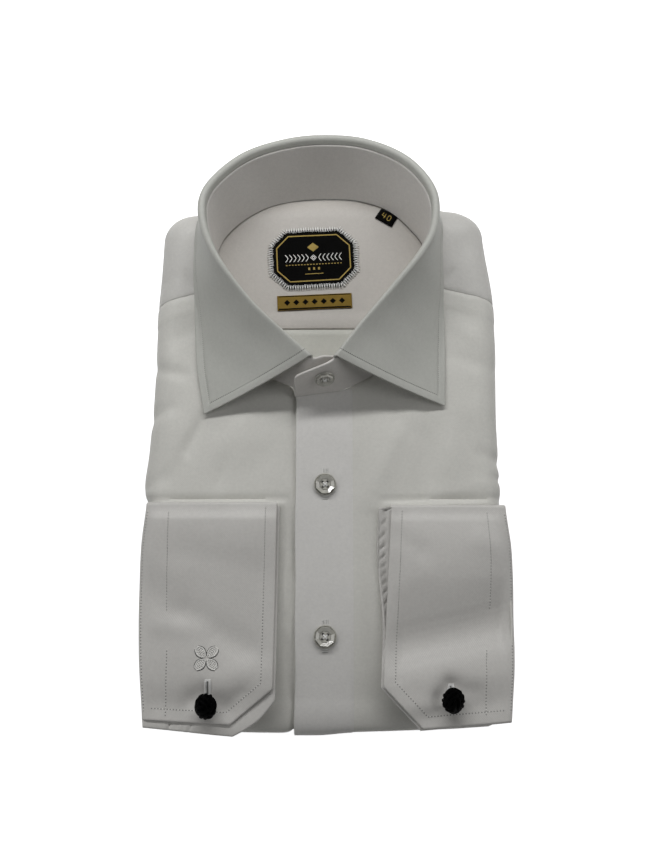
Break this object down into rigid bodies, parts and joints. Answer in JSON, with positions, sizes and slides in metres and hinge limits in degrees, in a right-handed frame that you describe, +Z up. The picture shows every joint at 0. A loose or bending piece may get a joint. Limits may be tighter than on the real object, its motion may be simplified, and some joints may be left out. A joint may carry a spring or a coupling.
{
  "type": "folded dress shirt",
  "caption": "White long sleeve dress shirt folded flat, spread collar standing and buttoned, link cuffs laid over the front and held by black silk knots.",
  "frame": {"origin": "under the middle of the folded stack, on the surface it lies on", "axes": "+X across the shirt towards the wearer's left, +Y along it towards the collar, +Z up"},
  "size_m": [0.2311, 0.3845, 0.0656],
  "materials": {
    "shirt_cotton": "fine white cotton twill with a slight sheen",
    "collar_cotton": "the same cotton, fused to an interlining and topstitched",
    "clear_resin": "clear polished resin",
    "black_silk": "black braided elastic silk knot",
    "black_satin": "black woven satin",
    "gold_satin": "dull gold woven satin"
  },
  "bodies": {
    "root": {"back": "shirt_cotton", "collar_band": "collar_cotton", "collar_button": "clear_resin", "collar_leaf": "collar_cotton", "cuff_knot_left": "black_silk", "cuff_knot_right": "black_silk", "cuff_left": "shirt_cotton", "cuff_right": "shirt_cotton", "front_button_1": "clear_resin", "front_button_2": "clear_resin", "front_left": "shirt_cotton", "front_right": "shirt_cotton", "hidden_layers": "shirt_cotton", "main_label": "black_satin", "placket": "shirt_cotton", "size_tab": "black_satin", "sleeve_left": "shirt_cotton", "sleeve_right": "shirt_cotton", "strip_label": "gold_satin", "yoke_inner": "shirt_cotton", "yoke_outer": "shirt_cotton"}
  },
  "joints": []
}
